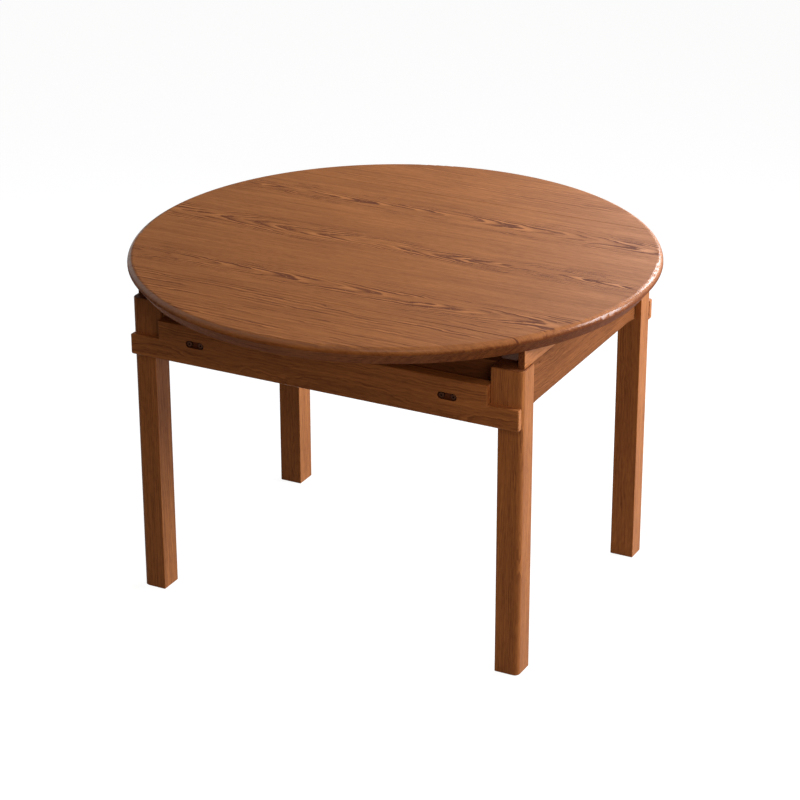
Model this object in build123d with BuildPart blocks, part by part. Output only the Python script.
"""Round drop-leaf table: a fixed centre top on a framed base, two hinged leaves, four pull-out bearers.

Millimetres, +Z up. X runs along the two seams of the top and Y across them. The origin lies on the floor,
under the middle of the top. "Front" is -Y, "left" is -X.
"""
import os
from math import sqrt
from build123d import *

os.makedirs("parts", exist_ok=True)

# ---------------------------------------------------------------- driving dimensions
# Top
HEIGHT = 735.0  # floor to the top face
TOP_DIAMETER = 1100.0
TOP_THICKNESS = 38.0
RIM_TOP_RADIUS = 12.0
RIM_UNDERCUT = 20.0  # how far the rim's lower edge stands in from its widest place
RIM_UNDERCUT_HEIGHT = 25.0  # from the underside up to the widest place
SEAM_GAP = 0.5
SEAM_CHAMFER = 0.5
LEAF_CLEARANCE = 2.0  # from the face of a board to the seam above it

# Base
FRAME_LENGTH = 880.0  # over the legs, along X
FRAME_WIDTH = 642.0  # over the legs, along Y
LEG_SIZE = 52.0
LEG_CORNER_RADIUS = 12.0  # outer corner of each leg
HEAD_SHOULDER = 16.0  # how much wider the leg's head is, on its inner side
ARRIS_RADIUS = 1.5  # eased edges of legs, rails and boards
LEG_END_CHAMFER = 1.5  # round the foot and round the head

# Lapped boards at front and back
BOARD_HEIGHT = 84.0
BOARD_DROP = 36.0  # leg top down to board top
BOARD_THICKNESS = 27.0
LAP_HEIGHT = 44.0
LAP_THICKNESS = 13.0  # the lap lies on the leg's face, so the board is this much proud
LAP_INSET = 2.0  # lap end, inside the leg's outer face
LAP_CORNER_RADIUS = 3.0
NOTCH_GAP = 1.0  # board's upper corner to the leg's head

# Side rails
RAIL_HEIGHT = 96.0
RAIL_THICKNESS = 24.0
RAIL_SETBACK = 13.0  # behind the legs' outer faces
RAIL_FLARE_LENGTH = 50.0  # curved stretch at each end of the lower edge
RAIL_FLARE_DROP = 5.5  # how much deeper the rail is at the leg
TENON_THICKNESS = 10.0
TENON_DEPTH = 28.0
TENON_SHOULDER = 12.0  # above and below the tenon

# Inner cross rails, which the bearers run over
INNER_RAIL_THICKNESS = 22.0
INNER_RAIL_GAP = 16.0  # behind the board
INNER_TENON_DEPTH = 14.0
INNER_TENON_SHOULDER = 8.0

# Beams tying the boards together, and their bolts
BEAM_OFFSET = 285.0  # from the middle to each beam
BEAM_WIDTH = 60.0
BEAM_HEIGHT = 42.0
BOLT_HEIGHT = 46.0  # above the board's lower edge
BOLT_SPACING = 26.0
BOLT_RADIUS = 3.0
BOLT_HEAD_RADIUS = 6.0
BOLT_HEAD_HEIGHT = 4.0
BOLT_HEAD_CHAMFER = 0.8
BOLT_GRIP = 30.0  # length inside the beam
BOLT_HOLE_CLEARANCE = 0.3
BOLT_PILOT_CLEARANCE = 0.05
SOCKET_WIDTH = 4.0  # across the flats of the hexagon socket
SOCKET_DEPTH = 2.5
RECESS_LENGTH = 42.0
RECESS_HEIGHT = 15.0
RECESS_DEPTH = 6.0

# Centre cross rail
CENTRE_RAIL_WIDTH = 80.0
CENTRE_RAIL_THICKNESS = 24.0

# Risers: battens on edge that carry the top over the leg heads and the side rails
RISER_HEIGHT = 37.0
RISER_THICKNESS = 14.0
RISER_SETBACK = 5.0  # behind the legs' outer faces
RISER_END_SETBACK = 18.0  # behind the legs' front and back faces

# Pull-out bearers, two for each leaf, between guide strips
BEARER_OFFSET = 150.0
BEARER_WIDTH = 44.0
BEARER_LENGTH = 290.0
BEARER_TRAVEL = 120.0
BEARER_SIDE_GAP = 0.4
BEARER_RUNNING_GAP = 0.3  # above and below
STRIP_THICKNESS = 20.0
PULL_RADIUS = 8.0  # finger groove under the bearer's outer end
PULL_OFFSET = 16.0  # from the bearer's outer end
PEG_RADIUS = 5.0
PEG_DROP = 9.0  # below the bearer
PEG_DEPTH = 20.0  # inside the bearer
PEG_STOP_GAP = 0.4

# Hinges, two under each seam
HINGE_OFFSET = 250.0
HINGE_LENGTH = 60.0
HINGE_KNUCKLES = 5
KNUCKLE_GAP = 0.4
KNUCKLE_RADIUS = 3.5
KNUCKLE_DROP = 0.4  # under the top's lower face
PLATE_THICKNESS = 2.0
PLATE_WIDTH = 30.0  # from the pin to the plate's edge
PLATE_NOTCH = 4.3  # from the pin to the plate, beside the other plate's knuckles
PIN_RADIUS = 1.5
PIN_CLEARANCE = 0.05
SCREWS_PER_PLATE = 3
SCREW_SPACING = 20.0
SCREW_OFFSET = 18.0  # from the pin
SCREW_RADIUS = 1.8
SCREW_HEAD_RADIUS = 3.6
SCREW_LENGTH = 14.0
SCREW_CLEARANCE = 0.1

# ---------------------------------------------------------------- derived places
underside = HEIGHT - TOP_THICKNESS
head_top = underside - RISER_HEIGHT
board_top = head_top - BOARD_DROP
board_bottom = board_top - BOARD_HEIGHT
lap_top = board_bottom + LAP_HEIGHT

leg_face_y = FRAME_WIDTH / 2
board_face = leg_face_y + LAP_THICKNESS
board_back = board_face - BOARD_THICKNESS
seam_y = board_face + LEAF_CLEARANCE

head_size = LEG_SIZE + HEAD_SHOULDER
head_inner_x = FRAME_LENGTH / 2 - head_size
leg_x = FRAME_LENGTH / 2 - LEG_SIZE / 2
head_x = FRAME_LENGTH / 2 - head_size / 2
leg_y = FRAME_WIDTH / 2 - LEG_SIZE / 2
leg_inner_y = FRAME_WIDTH / 2 - LEG_SIZE

rail_x = FRAME_LENGTH / 2 - RAIL_SETBACK - RAIL_THICKNESS / 2
rail_inner_x = rail_x - RAIL_THICKNESS / 2
rail_bottom = head_top - RAIL_HEIGHT
rail_end_bottom = rail_bottom - RAIL_FLARE_DROP
rail_straight_half = leg_inner_y - RAIL_FLARE_LENGTH
tenon_height = RAIL_HEIGHT - 2 * TENON_SHOULDER
tenon_bottom = rail_bottom + TENON_SHOULDER

bolt_z = board_bottom + BOLT_HEIGHT
beam_bottom = bolt_z - BEAM_HEIGHT / 2
beam_top = beam_bottom + BEAM_HEIGHT

inner_rail_face = board_back - INNER_RAIL_GAP
inner_rail_y = inner_rail_face - INNER_RAIL_THICKNESS / 2
inner_rail_back = inner_rail_face - INNER_RAIL_THICKNESS
inner_rail_height = head_top - beam_top
inner_tenon_thickness = INNER_RAIL_THICKNESS - INNER_TENON_SHOULDER
inner_tenon_height = inner_rail_height - 2 * INNER_TENON_SHOULDER
inner_tenon_bottom = beam_top + INNER_TENON_SHOULDER

riser_x = FRAME_LENGTH / 2 - RISER_SETBACK - RISER_THICKNESS / 2
riser_length = FRAME_WIDTH - 2 * RISER_END_SETBACK

bearer_bottom = head_top + BEARER_RUNNING_GAP
bearer_height = RISER_HEIGHT - 2 * BEARER_RUNNING_GAP
bearer_y = leg_face_y - BEARER_LENGTH / 2
peg_y = inner_rail_back - BEARER_TRAVEL - PEG_RADIUS - PEG_STOP_GAP
strip_shift = BEARER_WIDTH / 2 + BEARER_SIDE_GAP + STRIP_THICKNESS / 2

pin_z = underside - KNUCKLE_DROP - KNUCKLE_RADIUS
plate_bottom = underside - PLATE_THICKNESS
knuckle_pitch = HINGE_LENGTH / HINGE_KNUCKLES

ENDS = (("front", -1), ("back", 1))
SIDES = (("left", -1), ("right", 1))


def screw_places(end):
    """Screw centres under one seam, first those of the fixed plates, then those of the moving ones."""
    rows = []
    for inward in (-1, 1):
        y = end * (seam_y + inward * SCREW_OFFSET)
        row = []
        for side in (-1, 1):
            for index in range(SCREWS_PER_PLATE):
                shift = (index - (SCREWS_PER_PLATE - 1) / 2) * SCREW_SPACING
                row.append((side * HINGE_OFFSET + shift, y))
        rows.append(row)
    return rows


# ---------------------------------------------------------------- top
# The whole round slab, its rim rounded above and undercut below, sawn along the two seams into a leaf,
# the centre and a leaf.
with BuildPart() as sawn_slab:
    top_radius = TOP_DIAMETER / 2
    stand_up = (Align.CENTER, Align.CENTER, Align.MIN)
    with Locations((0, 0, underside)):
        Cone(top_radius - RIM_UNDERCUT, top_radius, RIM_UNDERCUT_HEIGHT, align=stand_up)
    with Locations((0, 0, underside + RIM_UNDERCUT_HEIGHT)):
        Cylinder(top_radius, TOP_THICKNESS - RIM_UNDERCUT_HEIGHT, align=stand_up)
    fillet(sawn_slab.edges().group_by(Axis.Z)[-1], RIM_TOP_RADIUS)
    # The cut is the seam's gap, widened to a small V by a square on its corner at the top face.
    groove_side = sqrt(2) * (SEAM_GAP / 2 + SEAM_CHAMFER)
    with BuildSketch(Plane.YZ):
        with Locations((-seam_y, HEIGHT), (seam_y, HEIGHT)):
            Rectangle(SEAM_GAP, 2 * TOP_THICKNESS + SEAM_GAP)
            Rectangle(groove_side, groove_side, rotation=45)
    extrude(amount=TOP_DIAMETER, both=True, mode=Mode.SUBTRACT)
sawn_tops = sawn_slab.solids().sort_by(Axis.Y)

pilot_depth = SCREW_LENGTH - PLATE_THICKNESS + SCREW_CLEARANCE

with BuildPart() as top_centre:
    add(sawn_tops[1])
    with BuildSketch(Plane.XY.offset(underside)):
        with Locations(*screw_places(-1)[0], *screw_places(1)[0]):
            Circle(SCREW_RADIUS + SCREW_CLEARANCE)
    extrude(amount=pilot_depth, mode=Mode.SUBTRACT)
top_centre.part.label = "top_centre"
export_step(top_centre.part, "parts/top_centre.step")

for end_name, end in ENDS:
    with BuildPart() as leaf:
        add(sawn_tops[1 + end])
        with BuildSketch(Plane.XY.offset(underside)):
            with Locations(*screw_places(end)[1]):
                Circle(SCREW_RADIUS + SCREW_CLEARANCE)
        extrude(amount=pilot_depth, mode=Mode.SUBTRACT)
    leaf.part.label = f"top_leaf_{end_name}"
    export_step(leaf.part, f"parts/top_leaf_{end_name}.step")

# ---------------------------------------------------------------- legs
for end_name, end in ENDS:
    for side_name, side in SIDES:
        outer_corner = (side * FRAME_LENGTH / 2, end * FRAME_WIDTH / 2, head_top / 2)
        with BuildPart() as leg:
            with BuildSketch():
                with Locations((side * leg_x, end * leg_y)):
                    Rectangle(LEG_SIZE, LEG_SIZE)
            extrude(amount=head_top)
            with BuildSketch(Plane.XY.offset(board_bottom)):
                with Locations((side * head_x, end * leg_y)):
                    Rectangle(head_size, LEG_SIZE)
            extrude(amount=head_top - board_bottom)
            upright_edges = leg.edges().filter_by(Axis.Z).sort_by_distance(outer_corner)
            fillet(upright_edges[1:], ARRIS_RADIUS)
            fillet(leg.edges().filter_by(Axis.Z).sort_by_distance(outer_corner)[0], LEG_CORNER_RADIUS)
            chamfer(leg.faces().sort_by(Axis.Z)[0].edges(), LEG_END_CHAMFER)
            chamfer(leg.faces().sort_by(Axis.Z)[-1].edges(), LEG_END_CHAMFER)
            with BuildSketch(Plane.XY.offset(tenon_bottom)):
                with Locations((side * rail_x, end * (leg_inner_y + TENON_DEPTH / 2))):
                    Rectangle(TENON_THICKNESS, TENON_DEPTH)
            extrude(amount=tenon_height, mode=Mode.SUBTRACT)
            with BuildSketch(Plane.XY.offset(inner_tenon_bottom)):
                with Locations((side * (head_inner_x + INNER_TENON_DEPTH / 2), end * inner_rail_y)):
                    Rectangle(INNER_TENON_DEPTH, inner_tenon_thickness)
            extrude(amount=inner_tenon_height, mode=Mode.SUBTRACT)
        leg.part.label = f"leg_{end_name}_{side_name}"
        export_step(leg.part, f"parts/leg_{end_name}_{side_name}.step")

# ---------------------------------------------------------------- lapped boards
lap_half_length = FRAME_LENGTH / 2 - LAP_INSET
board_half_length = head_inner_x - NOTCH_GAP
recess_places = [(side * BEAM_OFFSET, bolt_z) for _, side in SIDES]
bolt_places = []
for recess_x, recess_z in recess_places:
    bolt_places.append((recess_x - BOLT_SPACING / 2, recess_z))
    bolt_places.append((recess_x + BOLT_SPACING / 2, recess_z))

for end_name, end in ENDS:
    # This plane looks along -Y, so material goes into the board by end * depth.
    face_plane = Plane.XZ.offset(-end * board_face)
    with BuildPart() as board:
        with BuildSketch(face_plane):
            with Locations((0, board_bottom + LAP_HEIGHT / 2)):
                RectangleRounded(2 * lap_half_length, LAP_HEIGHT, LAP_CORNER_RADIUS)
        extrude(amount=end * LAP_THICKNESS)
        with BuildSketch(face_plane):
            with Locations((0, board_bottom + BOARD_HEIGHT / 2)):
                Rectangle(2 * board_half_length, BOARD_HEIGHT)
        extrude(amount=end * BOARD_THICKNESS)
        outer_face = board.faces().sort_by(Axis.Y)[0 if end < 0 else -1]
        chamfer(outer_face.edges(), ARRIS_RADIUS)
        with BuildSketch(face_plane):
            with Locations(*recess_places):
                SlotOverall(RECESS_LENGTH, RECESS_HEIGHT)
        extrude(amount=end * RECESS_DEPTH, mode=Mode.SUBTRACT)
        with BuildSketch(face_plane):
            with Locations(*bolt_places):
                Circle(BOLT_RADIUS + BOLT_HOLE_CLEARANCE)
        extrude(amount=end * BOARD_THICKNESS, mode=Mode.SUBTRACT)
    board.part.label = f"board_{end_name}"
    export_step(board.part, f"parts/board_{end_name}.step")

with BuildPart() as board_bolts:
    for _, end in ENDS:
        seat_plane = Plane.XZ.offset(-end * (board_face - RECESS_DEPTH))
        with BuildSketch(seat_plane):
            with Locations(*bolt_places):
                Circle(BOLT_RADIUS)
        extrude(amount=end * (BOARD_THICKNESS - RECESS_DEPTH + BOLT_GRIP))
        with BuildSketch(seat_plane):
            with Locations(*bolt_places):
                Circle(BOLT_HEAD_RADIUS)
        extrude(amount=-end * BOLT_HEAD_HEIGHT)
    for _, end in ENDS:
        head_plane = Plane.XZ.offset(-end * (board_face - RECESS_DEPTH + BOLT_HEAD_HEIGHT))
        head_faces = board_bolts.faces().filter_by(Axis.Y).group_by(Axis.Y)[0 if end < 0 else -1]
        chamfer(head_faces.edges(), BOLT_HEAD_CHAMFER)
        with BuildSketch(head_plane):
            with Locations(*bolt_places):
                RegularPolygon(SOCKET_WIDTH / 2, 6, major_radius=False)
        extrude(amount=end * SOCKET_DEPTH, mode=Mode.SUBTRACT)
board_bolts.part.label = "board_bolts"
export_step(board_bolts.part, "parts/board_bolts.step")

# ---------------------------------------------------------------- side rails and risers
for side_name, side in SIDES:
    with BuildPart() as side_rail:
        with BuildSketch(Plane.YZ.offset(side * rail_x)):
            with BuildLine():
                Line((-rail_straight_half, rail_bottom), (rail_straight_half, rail_bottom))
                for way in (-1, 1):
                    TangentArc(
                        (way * rail_straight_half, rail_bottom),
                        (way * leg_inner_y, rail_end_bottom),
                        tangent=(way, 0),
                    )
                    Line((way * leg_inner_y, rail_end_bottom), (way * leg_inner_y, head_top))
                Line((-leg_inner_y, head_top), (leg_inner_y, head_top))
            make_face()
        extrude(amount=RAIL_THICKNESS / 2, both=True)
        lower_edges = side_rail.edges().filter_by_position(Axis.Z, rail_end_bottom, rail_bottom)
        fillet(lower_edges.filter_by(Axis.X, reverse=True), ARRIS_RADIUS)
        with BuildSketch(Plane.XY.offset(tenon_bottom)):
            with Locations((side * rail_x, 0)):
                Rectangle(TENON_THICKNESS, 2 * (leg_inner_y + TENON_DEPTH))
        extrude(amount=tenon_height)
    side_rail.part.label = f"side_rail_{side_name}"
    export_step(side_rail.part, f"parts/side_rail_{side_name}.step")

    with BuildPart() as riser:
        with BuildSketch(Plane.XY.offset(head_top)):
            with Locations((side * riser_x, 0)):
                Rectangle(RISER_THICKNESS, riser_length)
        extrude(amount=RISER_HEIGHT)
        fillet(riser.edges().filter_by(Axis.Z), ARRIS_RADIUS)
    riser.part.label = f"riser_{side_name}"
    export_step(riser.part, f"parts/riser_{side_name}.step")

# ---------------------------------------------------------------- inner rails, beams, centre rail
for end_name, end in ENDS:
    with BuildPart() as inner_rail:
        with BuildSketch(Plane.XY.offset(beam_top)):
            with Locations((0, end * inner_rail_y)):
                Rectangle(2 * head_inner_x, INNER_RAIL_THICKNESS)
        extrude(amount=inner_rail_height)
        with BuildSketch(Plane.XY.offset(inner_tenon_bottom)):
            with Locations((0, end * inner_rail_y)):
                Rectangle(2 * (head_inner_x + INNER_TENON_DEPTH), inner_tenon_thickness)
        extrude(amount=inner_tenon_height)
    inner_rail.part.label = f"inner_rail_{end_name}"
    export_step(inner_rail.part, f"parts/inner_rail_{end_name}.step")

for side_name, side in SIDES:
    with BuildPart() as beam:
        with BuildSketch(Plane.XY.offset(beam_bottom)):
            with Locations((side * BEAM_OFFSET, 0)):
                Rectangle(BEAM_WIDTH, 2 * board_back)
        extrude(amount=BEAM_HEIGHT)
        for _, end in ENDS:
            with BuildSketch(Plane.XZ.offset(-end * board_back)):
                with Locations((side * BEAM_OFFSET - BOLT_SPACING / 2, bolt_z),
                               (side * BEAM_OFFSET + BOLT_SPACING / 2, bolt_z)):
                    Circle(BOLT_RADIUS + BOLT_PILOT_CLEARANCE)
            extrude(amount=end * (BOLT_GRIP + BOLT_PILOT_CLEARANCE), mode=Mode.SUBTRACT)
    beam.part.label = f"beam_{side_name}"
    export_step(beam.part, f"parts/beam_{side_name}.step")

with BuildPart() as centre_rail:
    with BuildSketch(Plane.XY.offset(head_top - CENTRE_RAIL_THICKNESS)):
        Rectangle(2 * rail_inner_x, CENTRE_RAIL_WIDTH)
    extrude(amount=CENTRE_RAIL_THICKNESS)
centre_rail.part.label = "centre_rail"
export_step(centre_rail.part, "parts/centre_rail.step")

# ---------------------------------------------------------------- guide strips and bearers
for side_name, side in SIDES:
    for place_name, place in (("inner", -1), ("outer", 1)):
        with BuildPart() as strip:
            with BuildSketch(Plane.XY.offset(head_top)):
                with Locations((side * (BEARER_OFFSET + place * strip_shift), 0)):
                    Rectangle(STRIP_THICKNESS, 2 * inner_rail_face)
            extrude(amount=RISER_HEIGHT)
        strip.part.label = f"guide_strip_{side_name}_{place_name}"
        export_step(strip.part, f"parts/guide_strip_{side_name}_{place_name}.step")

for end_name, end in ENDS:
    for side_name, side in SIDES:
        with BuildPart() as bearer:
            with BuildSketch(Plane.XY.offset(bearer_bottom)):
                with Locations((side * BEARER_OFFSET, end * bearer_y)):
                    Rectangle(BEARER_WIDTH, BEARER_LENGTH)
            extrude(amount=bearer_height)
            fillet(bearer.edges().filter_by(Axis.X), ARRIS_RADIUS)
            with BuildSketch(Plane.YZ.offset(side * BEARER_OFFSET)):
                with Locations((end * (leg_face_y - PULL_OFFSET), bearer_bottom)):
                    Circle(PULL_RADIUS)
            extrude(amount=BEARER_WIDTH, both=True, mode=Mode.SUBTRACT)
            with BuildSketch(Plane.XY.offset(bearer_bottom)):
                with Locations((side * BEARER_OFFSET, end * peg_y)):
                    Circle(PEG_RADIUS)
            extrude(amount=PEG_DEPTH, mode=Mode.SUBTRACT)
        bearer.part.label = f"bearer_{end_name}_{side_name}"
        export_step(bearer.part, f"parts/bearer_{end_name}_{side_name}.step")

        with BuildPart() as peg:
            with BuildSketch(Plane.XY.offset(bearer_bottom - PEG_DROP)):
                with Locations((side * BEARER_OFFSET, end * peg_y)):
                    Circle(PEG_RADIUS)
            extrude(amount=PEG_DROP + PEG_DEPTH)
        peg.part.label = f"stop_peg_{end_name}_{side_name}"
        export_step(peg.part, f"parts/stop_peg_{end_name}_{side_name}.step")


# ---------------------------------------------------------------- hinges
def hinge_plate(hinge_x, end, outward, first_knuckle):
    """Returns one hinge plate: outward is 1 for the leaf's plate and -1 for the fixed one."""
    pin_y = end * seam_y
    reach = end * outward
    knuckle_length = knuckle_pitch - KNUCKLE_GAP
    with BuildPart() as plate:
        with BuildSketch(Plane.XY.offset(plate_bottom)):
            with Locations((hinge_x, pin_y + reach * (PLATE_NOTCH + PLATE_WIDTH) / 2)):
                Rectangle(HINGE_LENGTH, PLATE_WIDTH - PLATE_NOTCH)
        extrude(amount=PLATE_THICKNESS)
        for index in range(first_knuckle, HINGE_KNUCKLES, 2):
            knuckle_x = hinge_x + (index + 0.5) * knuckle_pitch - HINGE_LENGTH / 2
            with BuildSketch(Plane.XY.offset(plate_bottom)):
                with Locations((knuckle_x, pin_y + reach * PLATE_NOTCH / 2)):
                    Rectangle(knuckle_length, PLATE_NOTCH)
            extrude(amount=PLATE_THICKNESS)
            with BuildSketch(Plane.YZ.offset(knuckle_x - knuckle_length / 2)):
                with Locations((pin_y, pin_z)):
                    Circle(KNUCKLE_RADIUS)
            extrude(amount=knuckle_length)
        with BuildSketch(Plane.YZ.offset(hinge_x - HINGE_LENGTH / 2)):
            with Locations((pin_y, pin_z)):
                Circle(PIN_RADIUS + PIN_CLEARANCE)
        extrude(amount=HINGE_LENGTH, mode=Mode.SUBTRACT)
        screw_y = pin_y + reach * SCREW_OFFSET
        for index in range(SCREWS_PER_PLATE):
            screw_x = hinge_x + (index - (SCREWS_PER_PLATE - 1) / 2) * SCREW_SPACING
            with Locations(Plane(origin=(screw_x, screw_y, plate_bottom), z_dir=(0, 0, -1))):
                CounterSinkHole(
                    radius=SCREW_RADIUS + SCREW_CLEARANCE,
                    counter_sink_radius=SCREW_HEAD_RADIUS + SCREW_CLEARANCE,
                    depth=PLATE_THICKNESS,
                    counter_sink_angle=90,
                )
    return plate.part


def screws(places):
    """Returns countersunk screws, heads down, at the given places."""
    slope_height = SCREW_HEAD_RADIUS - SCREW_RADIUS
    shank_length = SCREW_LENGTH - SCREW_CLEARANCE
    head_down = (Align.CENTER, Align.CENTER, Align.MIN)
    with BuildPart(Plane.XY.offset(plate_bottom + SCREW_CLEARANCE)) as screw_set:
        with Locations(*places):
            Cone(SCREW_HEAD_RADIUS, SCREW_RADIUS, slope_height, align=head_down)
            Cylinder(SCREW_RADIUS, shank_length, align=head_down)
    return screw_set.part


for end_name, end in ENDS:
    for side_name, side in SIDES:
        hinge_name = f"{end_name}_{side_name}"
        fixed_plate = hinge_plate(side * HINGE_OFFSET, end, outward=-1, first_knuckle=0)
        fixed_plate.label = f"hinge_fixed_{hinge_name}"
        export_step(fixed_plate, f"parts/hinge_fixed_{hinge_name}.step")

        leaf_plate = hinge_plate(side * HINGE_OFFSET, end, outward=1, first_knuckle=1)
        leaf_plate.label = f"hinge_leaf_{hinge_name}"
        export_step(leaf_plate, f"parts/hinge_leaf_{hinge_name}.step")

        with BuildPart() as hinge_pin:
            with BuildSketch(Plane.YZ.offset(side * HINGE_OFFSET - HINGE_LENGTH / 2)):
                with Locations((end * seam_y, pin_z)):
                    Circle(PIN_RADIUS)
            extrude(amount=HINGE_LENGTH)
        hinge_pin.part.label = f"hinge_pin_{hinge_name}"
        export_step(hinge_pin.part, f"parts/hinge_pin_{hinge_name}.step")

screws_centre = screws(screw_places(-1)[0] + screw_places(1)[0])
screws_centre.label = "screws_centre"
export_step(screws_centre, "parts/screws_centre.step")

for end_name, end in ENDS:
    screws_leaf = screws(screw_places(end)[1])
    screws_leaf.label = f"screws_leaf_{end_name}"
    export_step(screws_leaf, f"parts/screws_leaf_{end_name}.step")
